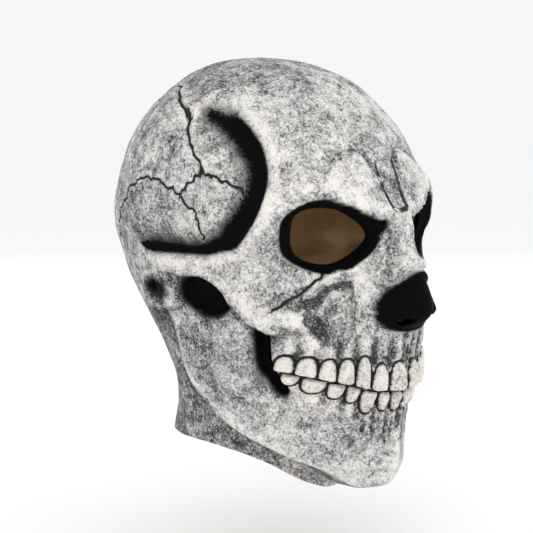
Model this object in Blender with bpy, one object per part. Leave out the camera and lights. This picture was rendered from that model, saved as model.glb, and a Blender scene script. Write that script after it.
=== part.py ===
"""Over-the-head skull mask: one hollow latex casting, face along -Y, crown up."""

import math

import bmesh
import bpy
import numpy as np

MM = 0.001
# Named sizes in mm. The face looks along -Y and the outside of the crown is at z = 0 here.
HEIGHT = 262.0
HALF_WIDTH = 93.5
FRONT_REACH = 117.5
BACK_REACH = 91.0
WALL = 3.0

# Crown to hem. Shares of the named sizes: height at the front, height at the back,
# then half width, front reach and squareness on the jaw side of the ridge,
# half width and front reach on the neck side, and back reach with its squareness.
SECTIONS = (
    (0.0000, 0.0000, 0.0000, 0.0000, 2.00, 0.0000, 0.0000, 0.0000, 2.00),
    (-0.0088, -0.0088, 0.2513, 0.2128, 2.00, 0.2513, 0.2128, 0.2418, 2.00),
    (-0.0305, -0.0305, 0.4545, 0.3830, 2.00, 0.4545, 0.3830, 0.3846, 2.00),
    (-0.0649, -0.0649, 0.6150, 0.5447, 2.00, 0.6150, 0.5447, 0.5275, 2.00),
    (-0.1221, -0.1221, 0.7861, 0.6809, 2.05, 0.7861, 0.6809, 0.6868, 2.05),
    (-0.1908, -0.1908, 0.9037, 0.8000, 2.15, 0.9037, 0.8000, 0.8250, 2.10),
    (-0.2748, -0.2748, 0.9733, 0.8936, 2.22, 0.9733, 0.8936, 0.9150, 2.10),
    (-0.3511, -0.3511, 1.0000, 0.9447, 2.50, 1.0000, 0.9447, 0.9700, 2.10),
    (-0.4046, -0.4046, 0.9679, 0.9489, 2.58, 0.9679, 0.9489, 1.0000, 2.10),
    (-0.4580, -0.4580, 0.9100, 0.9277, 2.45, 0.9037, 0.9277, 0.9890, 2.10),
    (-0.5153, -0.5153, 0.8980, 0.9319, 2.25, 0.8449, 0.9319, 0.9580, 2.10),
    (-0.5725, -0.5687, 0.8770, 0.9532, 2.05, 0.7914, 0.9191, 0.8900, 2.05),
    (-0.6298, -0.6183, 0.8300, 0.9872, 1.90, 0.7433, 0.8851, 0.8110, 2.00),
    (-0.6870, -0.6641, 0.7960, 1.0000, 1.85, 0.6952, 0.8511, 0.7198, 2.00),
    (-0.7443, -0.7099, 0.7780, 1.0060, 1.80, 0.6578, 0.8170, 0.6374, 2.00),
    (-0.8015, -0.7519, 0.7600, 0.9780, 1.75, 0.6257, 0.7660, 0.5714, 2.00),
    (-0.8588, -0.7863, 0.7480, 0.9590, 1.72, 0.6096, 0.7149, 0.5385, 2.00),
    (-0.9160, -0.8130, 0.7400, 0.9560, 1.68, 0.6043, 0.6638, 0.5275, 2.00),
    (-0.9618, -0.8321, 0.7360, 0.9380, 1.64, 0.6043, 0.6298, 0.5275, 2.00),
    (-0.9943, -0.8435, 0.7300, 0.8936, 1.62, 0.6043, 0.6043, 0.5275, 2.00),
    (-1.0076, -0.8550, 0.7180, 0.8000, 1.62, 0.6064, 0.5787, 0.5385, 2.00),
    (-1.0134, -0.8702, 0.6860, 0.7149, 1.70, 0.6096, 0.5617, 0.5494, 2.00),
    (-1.0191, -0.8893, 0.6524, 0.6213, 1.90, 0.6150, 0.5532, 0.5605, 2.00),
    (-1.0248, -0.9084, 0.6203, 0.5447, 2.00, 0.6203, 0.5447, 0.5714, 2.00),
)
LAST = len(SECTIONS) - 1

# Outlines on the face, (distance from the middle, height).
SOCKET = ((10, -96), (18, -96.5), (33, -89.5), (46, -83), (56, -83.5), (66, -88), (72.5, -94), (73, -103),
          (70, -113), (62, -121), (52, -126.5), (43, -126.5), (32, -120.5), (21, -112), (13, -103))
EYE_HOLE = ((18, -105), (24, -98.5), (34.5, -90.5), (45, -88), (56, -89), (62.5, -94), (63, -106),
            (58.5, -115), (51, -120.5), (41, -122.5), (34, -121), (26, -116), (19.5, -109))
NOSE_EDGE = ((-14, -133), (0, -124.5), (14, -133), (20.5, -142), (23, -151), (21, -158.5), (14, -163),
             (0, -165), (-14, -163), (-21, -158.5), (-23, -151), (-20.5, -142))
# Teeth: from and to across, lower and upper end.
UPPER_TEETH = ((0.7, 12.1, -199.5, -181.8), (13.2, 21.7, -198.5, -182), (22.9, 29.7, -197.5, -177),
               (30.6, 37.4, -194, -178.3), (38.2, 44.5, -192.5, -178.3), (45.4, 52.3, -190, -177.2),
               (53, 58.4, -187.5, -176.8))
LOWER_TEETH = ((0.5, 8.2, -212.3, -200), (9.2, 16, -211.8, -199.6), (17.2, 25.6, -212.8, -198.4),
               (26.4, 32.6, -205.8, -194.8), (33.6, 40.4, -203, -193.3), (41.2, 49.6, -199.8, -190.3),
               (50.8, 56.2, -195.6, -187.8))
BITE = ((0, -199.8), (13, -199.2), (22, -198.2), (29, -195.4), (37, -193.2), (45, -190.8), (52, -188.6), (60, -186))
# Lines on the side, (forward or back, height).
JAW_RIDGE = ((10, -110), (4, -140), (0, -160), (-2, -175), (-5, -189), (-12, -203), (-24, -217), (-38, -227),
             (-52, -237), (-70, -249), (-92, -262))
CRESCENT = ((-12, -27), (-30, -32), (-46, -42), (-58, -53), (-65, -66), (-67.5, -80), (-64, -93), (-56, -104),
            (-45, -111), (-30, -113.5), (-10, -114), (10, -113.5), (24, -112.5))
ARCH_EDGE = ((30, -129), (-5, -130), (-25, -132), (-38, -137), (-47, -143), (-54, -150), (-61, -157),
             (-68, -161), (-78, -160), (-90, -152))
SLOT = ((-60.5, -164), (-60, -172), (-59.5, -182), (-62, -192), (-67, -200))
OVAL = (-28, -143, 18.5, 12.0, -13.0)
EAR = (19, -143, 4.0, 5.2)


def spline(t, column):
    table = np.array(SECTIONS)[:, column]
    i = np.clip(np.floor(t).astype(int), 0, LAST - 1)
    f = t - i
    b = table[i]
    c = table[i + 1]
    a = np.where(i > 0, table[np.maximum(i - 1, 0)], 2 * b - c)
    d = np.where(i < LAST - 1, table[np.minimum(i + 2, LAST)], 2 * c - b)
    return 0.5 * (2 * b + (c - a) * f + (2 * a - 5 * b + 4 * c - d) * f**2 + (3 * b - a - 3 * c + d) * f**3)


def ease(x):
    x = np.clip(x, 0, 1)
    return x * x * (3 - 2 * x)


def bump(distance, width):
    return np.exp(-((distance / width) ** 2))


def reach(s, c, half, front, power):
    half = np.maximum(half, 1e-3)
    front = np.maximum(front, 1e-3)
    return ((np.abs(s) / half) ** power + (np.abs(c) / front) ** power) ** (-1 / power)


def base(angle, t, step=12.0):
    """The plain head form, with no relief. The angle runs from the middle of the face towards +X."""
    s = np.sin(angle)
    c = np.cos(angle)
    front_z, back_z, jaw_w, jaw_f, jaw_n, neck_w, neck_f, back_b, back_n = (spline(t, k) for k in range(9))
    z = HEIGHT * (back_z + (front_z - back_z) * ((1 + c) / 2) ** 6)
    back = reach(s, c, jaw_w * HALF_WIDTH, back_b * BACK_REACH, back_n)
    jaw = np.where(c > 0, reach(s, c, jaw_w * HALF_WIDTH, jaw_f * FRONT_REACH, jaw_n), back)
    neck = reach(s, c, neck_w * HALF_WIDTH, np.where(c > 0, neck_f * FRONT_REACH, back_b * BACK_REACH), back_n)
    ridge = np.array(JAW_RIDGE)
    behind = -jaw * c - np.interp(-z, -ridge[:, 1], ridge[:, 0])
    share = 1 - ease(behind / step) * ease((t - 7.5) / 2)
    r = neck + (jaw - neck) * share
    return np.stack([r * s, -r * c, z], -1)


def base_normal(angle, t):
    e = 0.02
    t0 = np.clip(t - e, 0.3, LAST)
    t1 = np.clip(t + e, 0.3 + 2 * e, LAST)
    across = base(angle + e, t, 26.0) - base(angle - e, t, 26.0)
    down = base(angle, t1, 26.0) - base(angle, t0, 26.0)
    normal = np.cross(down, across)
    length = np.linalg.norm(normal, axis=-1, keepdims=True)
    normal = normal / np.maximum(length, 1e-9)
    top = ease(1 - t / 0.8)[..., None]
    normal = normal * (1 - top) + top * np.array([0.0, 0.0, 1.0])
    return normal / np.linalg.norm(normal, axis=-1, keepdims=True)


def near_line(a, b, points):
    """Distance to a line of points, which side it is on, and how far along it is."""
    best = np.full(a.shape, 1e9)
    side = np.zeros(a.shape)
    along = np.zeros(a.shape)
    done = 0.0
    for (a0, b0), (a1, b1) in zip(points[:-1], points[1:]):
        da = a1 - a0
        db = b1 - b0
        size = math.hypot(da, db)
        u = np.clip(((a - a0) * da + (b - b0) * db) / size**2, 0, 1)
        d = np.hypot(a - a0 - u * da, b - b0 - u * db)
        closer = d < best
        best = np.where(closer, d, best)
        side = np.where(closer, np.sign(da * (b - b0) - db * (a - a0)), side)
        along = np.where(closer, done + u * size, along)
        done += size
    return best, side, along / done


def inside(a, b, outline):
    """Signed distance to a closed outline, below zero inside."""
    loop = tuple(outline) + (outline[0],)
    d = near_line(a, b, loop)[0]
    odd = np.zeros(a.shape, bool)
    for (a0, b0), (a1, b1) in zip(loop[:-1], loop[1:]):
        crosses = (b0 > b) != (b1 > b)
        at = a0 + (b - b0) * (a1 - a0) / (b1 - b0 if b1 != b0 else 1e-9)
        odd ^= crosses & (a < at)
    return np.where(odd, -d, d)


def rounded(outline, times=2):
    """The outline with its corners cut, which leaves a smooth curve."""
    points = [tuple(map(float, p)) for p in outline]
    for _ in range(times):
        cut = []
        for p, q in zip(points, points[1:] + points[:1]):
            cut.append((0.75 * p[0] + 0.25 * q[0], 0.75 * p[1] + 0.25 * q[1]))
            cut.append((0.25 * p[0] + 0.75 * q[0], 0.25 * p[1] + 0.75 * q[1]))
        points = cut
    return points


def eased_line(points, times=2):
    """The open line with its corners cut."""
    points = [tuple(map(float, p)) for p in points]
    for _ in range(times):
        cut = [points[0]]
        for p, q in zip(points[:-1], points[1:]):
            cut.append((0.75 * p[0] + 0.25 * q[0], 0.75 * p[1] + 0.25 * q[1]))
            cut.append((0.25 * p[0] + 0.75 * q[0], 0.25 * p[1] + 0.75 * q[1]))
        points = cut + [points[-1]]
    return points


def relief(p):
    """How far the broad relief stands out along the normal, and how far it lies back along Y, in mm."""
    ax = np.abs(p[..., 0])
    y = p[..., 1]
    z = p[..., 2]
    face = ease((-y - 30) / 25)
    out = np.zeros(ax.shape)

    # Sockets: a raised rim, then a bowl that falls to the edge of the eye hole.
    edge = inside(ax, z, rounded(SOCKET))
    hole = inside(ax, z, rounded(EYE_HOLE))
    share = np.where(edge < 0, -edge / np.maximum(-edge + np.maximum(hole, 0), 1e-6), 0)
    bowl = (6.0 + 4.5 * ease((ax - 20) / 32)) * (1 - (1 - share) ** 1.7)
    back = face * bowl
    brow = 2.9 * bump(edge - 6, 7) * ease((z + 112) / 12)
    lower_rim = 1.6 * bump(edge - 4, 4.5) * ease((-108 - z) / 8)
    out += face * (np.where(edge > 0, brow + lower_rim, (brow + lower_rim) * (1 - share) ** 2))
    out += face * 0.6 * bump(near_line(ax, z, ((8, -83), (20, -78), (36, -71), (54, -70)))[0], 9)

    # Bridge of the nose, the nose form and the edge of the nose opening.
    out += face * 3.0 * bump(ax, 9) * ease((z + 132) / 10) * ease((-z - 84) / 16)
    bone = np.interp(-z, (84, 91, 99, 110, 121, 127, 134, 142), (0, 1.5, 4.5, 10.5, 16.0, 16.5, 12, 0))
    bone = bone * bump(ax, 8.5 + np.clip((-z - 100) / 8, 0, 4))
    rim = inside(p[..., 0], z, rounded(NOSE_EDGE))
    out += face * 4.2 * bump(np.maximum(rim, 0), 9) * ease((rim + 3.5) / 3.5) * ease((-z - 116) / 18)
    ridge = np.interp(-z, (120, 123, 127, 131, 137, 144, 150, 154, 157.5, 160.5, 163, 165.5),
                      (0, 11, 18, 21, 23, 24, 22.5, 20, 16, 11, 5, 0))
    wide = np.interp(-z, (124, 128, 133, 142, 151, 158.5, 163, 166), (9, 13, 16.5, 20.5, 23, 21, 15, 11))
    bulb = ridge * np.maximum(1 - (ax / wide) ** 2, 0) ** 0.62
    wing = 4.0 * bump(np.hypot((ax - 13.5) / 5, (z + 151) / 6), 1.0)
    tip = 3.5 * bump(np.hypot(ax / 8, (z + 150) / 7), 1.0)
    nose = np.maximum(bulb + np.maximum(wing, tip) * ease(bulb / 6), bone)
    back = np.where(y < -60, back - nose, back)

    # Cheekbone and arch: full above the lower edge, cut back sharply below it.
    d, side, along = near_line(y, z, eased_line(ARCH_EDGE))
    high = np.interp(-y, (-26, 0, 25, 42, 56, 66, 76, 88, 96), (0, 0.8, 2.0, 4.8, 7.6, 8.0, 6.0, 2.0, 0))
    above = np.where(side > 0, -d, d)
    body = np.where(above > 0, bump(above, 18), bump(above, 3.4))
    keep = ease((y + 96) / 20) * ease((ax - 30) / 14) * ease((-y + 26) / 14)
    out += high * body * keep * np.where(edge < 2, ease((edge + 4) / 6), 1)

    # Ramus: a flat plate behind the slot.
    plate = ease((y + 60) / 5) * ease((6 - y) / 40) * ease((-z - 150) / 12) * ease((z + 212) / 22)
    out += 5.5 * plate * ease((ax - 40) / 10)

    # Hollow of the cheek beside the nose opening.
    out -= face * 3.0 * bump(np.hypot((ax - 42) / 12, (z + 147) / 15), 1.0)

    # Upper gum stands forward of the lower one, and the lower one of the hollow above the chin.
    bite = np.interp(ax, [q[0] for q in BITE], [q[1] for q in BITE])
    fang = face * ease((66 - ax) / 8)
    out += fang * 2.4 * ease((z - bite) / 1.2) * ease((-154 - z) / 14)
    out -= fang * 0.8 * ease((bite - z) / 1.2) * ease((z + 230) / 20)

    # Chin, with its middle ridge and the two corners, and the rolled border of the jaw.
    out += face * 1.3 * bump(ax, 4.5) * ease((-212 - z) / 10) * ease((z + 262) / 8)
    out += face * 2.2 * bump(np.hypot((ax - 20) / 10, (z + 247) / 8), 1.0)
    d, side, along = near_line(y, z, eased_line(JAW_RIDGE))
    front = np.where(side < 0, d, -d)
    roll = bump(d - 4, 5) * ease((along - 0.22) / 0.12) * ease((0.93 - along) / 0.1)
    out += 2.0 * roll * (front > 0) * ease((ax - 25) / 20)

    # Crescent round the temple: crisp on the face side, soft towards the ear.
    d, side, along = near_line(y, z, eased_line(CRESCENT))
    away = np.where(side < 0, d, -d)
    cut = np.where(away > 0, 1 - ease((away - 2.5) / 5.5), bump(away, 9))
    ends = ease((along - 0.0) / 0.14) * ease((1 - along) / 0.1)
    within = ease((ax - 34) / 14)
    out -= 4.2 * cut * ends * within
    out += 1.3 * bump(away - 10, 5) * ease(away / 4) * ends * within
    out -= 1.4 * (away < 0) * ease((-away - 4) / 10) * ease((y + 66) / 12) * ease((30 - y) / 20) \
        * ease((z + 112) / 10) * ease((-24 - z) / 20) * within

    # Root of the ear: a ring round the canal, and the knob behind the jaw.
    ring = np.hypot((y - EAR[0]) / 8.5, (z - EAR[1]) / 11)
    out += 2.4 * bump(ring - 1, 0.42) * ease((ax - 40) / 10)
    out += 2.5 * bump(np.hypot((y - 26) / 11, (z + 160) / 13), 1.0) * ease((ax - 40) / 10)
    return out, back


def pits(p):
    """Depth of the narrow recesses on the side of the head: ear canal, oval hollow and slot."""
    ax = np.abs(p[..., 0])
    y = p[..., 1]
    z = p[..., 2]
    canal = 4.5 * (1 - ease((np.hypot((y - EAR[0]) / EAR[2], (z - EAR[1]) / EAR[3]) - 0.7) / 0.55))
    a = math.radians(OVAL[4])
    u = (y - OVAL[0]) * math.cos(a) + (z - OVAL[1]) * -math.sin(a)
    v = (y - OVAL[0]) * math.sin(a) + (z - OVAL[1]) * math.cos(a)
    oval = 7.5 * (1 - ease((np.hypot(u / OVAL[2], v / OVAL[3]) - 0.74) / 0.34))
    slot = 7.0 * (1 - ease((near_line(y, z, SLOT)[0] - 2.6) / 3.2))
    return np.maximum(np.maximum(canal, oval), slot) * ease((ax - 40) / 10)


def tooth(ax, z, box):
    """0 outside the tooth's outline, rising to 1 on its crown."""
    x0, x1, z0, z1 = box
    q = (np.abs((ax - (x0 + x1) / 2) / ((x1 - x0) / 2)) ** 2.8
         + np.abs((z - (z0 + z1) / 2) / ((z1 - z0) / 2)) ** 2.8) ** (1 / 2.8)
    return q


def outer(angle, t):
    """The outside of the casting in mm, without its teeth. The relief is a mean over about one cell."""
    plain = base(angle, t)
    out = np.zeros(t.shape)
    back = np.zeros(t.shape)
    for i, j, share in ((0, 0, 0.28), (1, 0, 0.12), (-1, 0, 0.12), (0, 1, 0.12), (0, -1, 0.12),
                        (1, 1, 0.06), (1, -1, 0.06), (-1, 1, 0.06), (-1, -1, 0.06)):
        beside = base(angle + i * math.radians(1.8), np.clip(t + 0.16 * j, 0, LAST))
        raised, behind = relief(beside)
        out += share * (raised - pits(beside))
        back += share * behind
    points = plain + base_normal(angle, t) * out[..., None]
    points[..., 1] += back
    return points


def inner(angle, t):
    """The inside of the casting: a wall behind the deepest relief near each place."""
    plain = base(angle, t)
    turn = 4.0 / np.maximum(np.hypot(plain[..., 0], plain[..., 1]), 25.0)
    depth = np.full(t.shape, 1e3)
    back = np.full(t.shape, -1e3)
    for i in (-1, 0, 1):
        for j in (-1, 0, 1):
            beside = base(angle + i * turn, np.clip(t + 0.3 * j, 0, LAST))
            out, behind = relief(beside)
            depth = np.minimum(depth, out - pits(beside))
            back = np.maximum(back, behind)
    normal = base_normal(angle, t)
    level = np.stack([np.sin(angle), -np.cos(angle), 0 * t], -1)
    hem = ease((t - 20.8) / 1.4)[..., None]
    normal = normal * (1 - hem) + level * hem
    points = plain + normal * (depth - WALL)[..., None]
    points[..., 1] += back
    return points


def grid_mesh(name, rows, foot):
    """A closed body from rows of points, crown to hem, with a point on the crown and one below the hem."""
    count = len(rows[0])
    points = [tuple(rows[0][0])]
    faces = []
    for row in rows[1:]:
        points.extend(tuple(p) for p in row)
    for j in range(count):
        faces.append((0, 1 + (j + 1) % count, 1 + j))
    for i in range(len(rows) - 2):
        for j in range(count):
            a = 1 + i * count + j
            b = 1 + i * count + (j + 1) % count
            faces.append((a, b, b + count, a + count))
    low = 1 + (len(rows) - 2) * count
    points.append(foot)
    for j in range(count):
        faces.append((low + j, low + (j + 1) % count, len(points) - 1))
    return mesh_object(name, points, faces)


def mesh_object(name, points, faces):
    mesh = bpy.data.meshes.new(name)
    mesh.from_pydata([tuple((np.array(p) + (0, 0, WALL)) * MM) for p in points], [], faces)
    mesh.validate()
    shape = bmesh.new()
    shape.from_mesh(mesh)
    bmesh.ops.recalc_face_normals(shape, faces=shape.faces)
    if shape.calc_volume(signed=True) < 0:
        bmesh.ops.reverse_faces(shape, faces=shape.faces)
    bmesh.ops.triangulate(shape, faces=shape.faces)
    shape.to_mesh(mesh)
    shape.free()
    made = bpy.data.objects.new(name, mesh)
    bpy.context.scene.collection.objects.link(made)
    return made


def prism(name, outline, y0, y1):
    """A cutter along Y with this outline, (across, height)."""
    n = len(outline)
    points = [(x, y0, z) for x, z in outline] + [(x, y1, z) for x, z in outline]
    faces = [tuple(range(n)), tuple(range(2 * n - 1, n - 1, -1))]
    faces += [(k, k + n, (k + 1) % n + n, (k + 1) % n) for k in range(n)]
    return mesh_object(name, points, faces)


def side_prism(name, outline, x0, x1):
    """A cutter along X with this outline, (forward or back, height)."""
    n = len(outline)
    points = [(x0, y, z) for y, z in outline] + [(x1, y, z) for y, z in outline]
    faces = [tuple(range(n)), tuple(range(2 * n - 1, n - 1, -1))]
    faces += [(k, k + n, (k + 1) % n + n, (k + 1) % n) for k in range(n)]
    return mesh_object(name, points, faces)


def ellipse(cy, cz, ry, rz, turn=0.0, count=16):
    a = math.radians(turn)
    ring = []
    for k in range(count):
        u = ry * math.cos(2 * math.pi * k / count)
        v = rz * math.sin(2 * math.pi * k / count)
        ring.append((cy + u * math.cos(a) - v * math.sin(a), cz + u * math.sin(a) + v * math.cos(a)))
    return ring


def on_face(across, height):
    """The angle and row of the plain form at this place on the face."""
    angle = np.radians(np.linspace(-75, 75, 301))
    t = np.linspace(8, 18.5, 211)
    aa, tt = np.meshgrid(angle, t)
    p = base(aa, tt)
    d = np.hypot(p[..., 0] - across, p[..., 2] - height)
    i = np.unravel_index(d.argmin(), d.shape)
    return aa[i], tt[i]


def tooth_body(name, box, side):
    """One tooth: a rounded block that stands out of the gum."""
    x0, x1, z0, z1 = box
    angle, t = on_face(side * (x0 + x1) / 2, (z0 + z1) / 2)
    spot = np.array([angle])
    row = np.array([t])
    centre = outer(spot, row)[0]
    out = base_normal(spot, row)[0]
    out[2] = 0
    out = out / np.linalg.norm(out)
    along = np.array([-out[1], out[0], 0.0])
    half = (x1 - x0) / 2 / max(abs(along[0]), 0.5)
    tall = (z1 - z0) / 2
    points = []
    for depth, size in ((-1.2, 1.0), (1.5, 0.96), (2.7, 0.6)):
        for k in range(10):
            a = 2 * math.pi * k / 10
            u = math.copysign(abs(math.cos(a)) ** 0.7, math.cos(a)) * half * size
            v = math.copysign(abs(math.sin(a)) ** 0.7, math.sin(a)) * tall * size
            points.append(tuple(centre + out * depth + along * u + np.array([0, 0, v])))
    faces = [tuple(range(10)), tuple(range(20, 30))]
    for i in range(2):
        for k in range(10):
            a = i * 10 + k
            b = i * 10 + (k + 1) % 10
            faces.append((a, b, b + 10, a + 10))
    return mesh_object(name, points, faces)


def boolean(target, others, operation):
    """Each cutter or added shape stays hidden, and its effect is made real on the target."""
    helpers = bpy.data.collections.new("helpers_" + operation.lower() + "_" + others[0].name)
    bpy.context.scene.collection.children.link(helpers)
    for other in others:
        bpy.context.scene.collection.objects.unlink(other)
        helpers.objects.link(other)
        other.hide_render = True
        other.display_type = "WIRE"
    step = target.modifiers.new(operation.lower() + "_" + others[0].name, "BOOLEAN")
    step.operation = operation
    step.solver = "EXACT"
    step.operand_type = "COLLECTION"
    step.collection = helpers
    return step


bpy.context.scene.unit_settings.scale_length = 1.0
for old in list(bpy.data.objects):
    bpy.data.objects.remove(old, do_unlink=True)

# Columns are closest over the face, rows over the eyes, nose and teeth.
FACE_COLUMNS = [0, 3.6, 7.4, 11.2, 15, 19, 23, 27, 31, 35, 39.5, 43.5, 46.5, 49.5, 53, 57.5,
                62, 67, 72, 77, 82, 87, 92, 97.5, 103, 109, 116, 124, 134, 145, 156, 168]
columns = [-a for a in reversed(FACE_COLUMNS[1:])] + FACE_COLUMNS + [180]
rows = np.concatenate([
    [0, 0.45, 1.0, 1.6, 2.3, 3.0, 3.6, 4.2, 4.8, 5.3, 5.8, 6.2, 6.6],
    np.arange(6.95, 13.05, 0.305),
    [13.4, 13.8, 14.2, 14.6, 15.0, 15.45, 15.9, 16.4, 16.9, 17.4, 17.9, 18.4, 18.9, 19.4, 19.9, 20.4, 21.0, 22.0, 23.0],
])
aa, tt = np.meshgrid(np.radians(columns), rows)
shell_points = outer(aa, tt)
shell = grid_mesh("mask_shell", shell_points, (0.0, 4.0, -252.0))

hollow_columns = np.radians(np.concatenate([np.arange(-90, 90.1, 9), np.arange(102, 265, 12)]))
hollow_rows = np.array([0, 1.0, 2.0, 3.0, 4.0, 5.0, 5.8, 6.6, 7.3, 8.0, 8.7, 9.4, 10.1, 10.8, 11.4, 12.0, 12.6, 13.3,
                        14.2, 15.2, 16.3, 17.3, 18.2, 19.0, 19.8, 20.8, 22.0, 23.0])
aa, tt = np.meshgrid(hollow_columns, hollow_rows)
hollow_points = list(inner(aa, tt))
hollow_points.append(hollow_points[-1] + (0.0, 0.0, -14.0))
hollow = grid_mesh("cut_hollow", hollow_points, (0.0, 4.0, -276.0))

teeth = []
for row_name, boxes in (("upper", UPPER_TEETH), ("lower", LOWER_TEETH)):
    for side, side_name in ((1, "left"), (-1, "right")):
        for k, box in enumerate(boxes):
            teeth.append(tooth_body(f"tooth_{row_name}_{side_name}_{k + 1}", box, side))

cutters = []
for side, side_name in ((1, "left"), (-1, "right")):
    ring = [(side * x, z) for x, z in rounded(EYE_HOLE, 1)]
    cutters.append(prism("cut_eye_" + side_name, ring, -150.0, -45.0))
    ring = ellipse(side * 11.0, -156.0, 4.6, 2.7, 0.0, 12)
    cutters.append(prism("cut_nostril_" + side_name, ring, -150.0, -100.0))

ring = [(-23.0, -200.3), (9.0, -200.6), (9.0, -199.3), (-23.0, -198.9)]
cutters.append(prism("cut_bite", ring, -150.0, -95.0))

boolean(shell, teeth, "UNION")
boolean(shell, [hollow], "DIFFERENCE")
boolean(shell, cutters, "DIFFERENCE")

rubber = bpy.data.materials.new("latex")
rubber.use_nodes = True
shader = rubber.node_tree.nodes["Principled BSDF"]
shader.inputs["Base Color"].default_value = (0.72, 0.70, 0.66, 1.0)
shader.inputs["Roughness"].default_value = 0.62
shell.data.materials.append(rubber)
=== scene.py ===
"""Looks of the over-the-head skull mask: one latex casting, painted bone white, grey and black."""

import math

import bmesh
import bpy
import numpy as np
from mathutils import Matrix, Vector


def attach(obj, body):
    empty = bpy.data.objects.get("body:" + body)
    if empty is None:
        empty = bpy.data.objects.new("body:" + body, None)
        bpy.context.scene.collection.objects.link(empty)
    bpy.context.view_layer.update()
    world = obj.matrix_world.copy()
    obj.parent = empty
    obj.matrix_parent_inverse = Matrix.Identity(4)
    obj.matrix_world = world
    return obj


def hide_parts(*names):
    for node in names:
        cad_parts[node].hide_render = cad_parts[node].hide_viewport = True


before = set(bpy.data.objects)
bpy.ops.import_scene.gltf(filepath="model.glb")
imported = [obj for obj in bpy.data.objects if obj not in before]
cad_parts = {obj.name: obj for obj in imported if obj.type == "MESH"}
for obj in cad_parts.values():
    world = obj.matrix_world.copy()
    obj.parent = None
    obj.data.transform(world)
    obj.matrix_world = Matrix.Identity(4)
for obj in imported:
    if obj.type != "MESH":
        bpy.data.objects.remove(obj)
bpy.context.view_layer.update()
MM = 0.001

# Named sizes in mm. The face looks along -Y and the outside of the crown is at z = 0 here.
HEIGHT = 262.0
HALF_WIDTH = 93.5
FRONT_REACH = 117.5
BACK_REACH = 91.0
WALL = 3.0
# A distance in mm past which nothing is painted.
FAR = 9.0

# Steps of the skin as (up to, step): degrees from the middle of the face, rows down from the crown.
OUTSIDE_COLUMNS = ((40, 0.64), (60, 0.8), (110, 1.1), (180, 1.75))
OUTSIDE_ROWS = ((1.0, 0.25), (5.0, 0.22), (7.5, 0.12), (19.0, 0.0755), (20.6, 0.07), (23.0, 0.15))
INSIDE_COLUMNS = ((70, 2.4), (180, 4.0))
INSIDE_ROWS = ((6.0, 0.4), (19.0, 0.19), (23.0, 0.3))

# How dark the wash is everywhere, and how much the darker places add: grey wash in the hollows, and painted
# shade behind the jaw, under the cheekbone arch and under the ear's root.
BASE = 0.27
WASH_AND_SHADE = 0.56

# Light and camera: degrees from the front, degrees up, and metres.
WORLD = 0.93
POWER = 0.28
AZIMUTH = -48.0
ELEVATION = 7.0
DISTANCE = 1.02
VIEW_ANGLE = 19.0
AIM = (-0.006, -0.012, -0.130)
FLOOR_Z = -0.318
FLOOR_RADIUS = 6.0

# Crown to hem. Shares of the named sizes: height at the front, height at the back,
# then half width, front reach and squareness on the jaw side of the ridge,
# half width and front reach on the neck side, and back reach with its squareness.
SECTIONS = (
    (0.0000, 0.0000, 0.0000, 0.0000, 2.00, 0.0000, 0.0000, 0.0000, 2.00),
    (-0.0088, -0.0088, 0.2513, 0.2128, 2.00, 0.2513, 0.2128, 0.2418, 2.00),
    (-0.0305, -0.0305, 0.4545, 0.3830, 2.00, 0.4545, 0.3830, 0.3846, 2.00),
    (-0.0649, -0.0649, 0.6150, 0.5447, 2.00, 0.6150, 0.5447, 0.5275, 2.00),
    (-0.1221, -0.1221, 0.7861, 0.6809, 2.05, 0.7861, 0.6809, 0.6868, 2.05),
    (-0.1908, -0.1908, 0.9037, 0.8000, 2.15, 0.9037, 0.8000, 0.8250, 2.10),
    (-0.2748, -0.2748, 0.9733, 0.8936, 2.22, 0.9733, 0.8936, 0.9150, 2.10),
    (-0.3511, -0.3511, 1.0000, 0.9447, 2.50, 1.0000, 0.9447, 0.9700, 2.10),
    (-0.4046, -0.4046, 0.9679, 0.9489, 2.58, 0.9679, 0.9489, 1.0000, 2.10),
    (-0.4580, -0.4580, 0.9100, 0.9277, 2.45, 0.9037, 0.9277, 0.9890, 2.10),
    (-0.5153, -0.5153, 0.8980, 0.9319, 2.25, 0.8449, 0.9319, 0.9580, 2.10),
    (-0.5725, -0.5687, 0.8770, 0.9532, 2.05, 0.7914, 0.9191, 0.8900, 2.05),
    (-0.6298, -0.6183, 0.8300, 0.9872, 1.90, 0.7433, 0.8851, 0.8110, 2.00),
    (-0.6870, -0.6641, 0.7960, 1.0000, 1.85, 0.6952, 0.8511, 0.7198, 2.00),
    (-0.7443, -0.7099, 0.7780, 1.0060, 1.80, 0.6578, 0.8170, 0.6374, 2.00),
    (-0.8015, -0.7519, 0.7600, 0.9780, 1.75, 0.6257, 0.7660, 0.5714, 2.00),
    (-0.8588, -0.7863, 0.7480, 0.9590, 1.72, 0.6096, 0.7149, 0.5385, 2.00),
    (-0.9160, -0.8130, 0.7400, 0.9560, 1.68, 0.6043, 0.6638, 0.5275, 2.00),
    (-0.9618, -0.8321, 0.7360, 0.9380, 1.64, 0.6043, 0.6298, 0.5275, 2.00),
    (-0.9943, -0.8435, 0.7300, 0.8936, 1.62, 0.6043, 0.6043, 0.5275, 2.00),
    (-1.0076, -0.8550, 0.7180, 0.8000, 1.62, 0.6064, 0.5787, 0.5385, 2.00),
    (-1.0134, -0.8702, 0.6860, 0.7149, 1.70, 0.6096, 0.5617, 0.5494, 2.00),
    (-1.0191, -0.8893, 0.6524, 0.6213, 1.90, 0.6150, 0.5532, 0.5605, 2.00),
    (-1.0248, -0.9084, 0.6203, 0.5447, 2.00, 0.6203, 0.5447, 0.5714, 2.00),
)
LAST = len(SECTIONS) - 1

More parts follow.
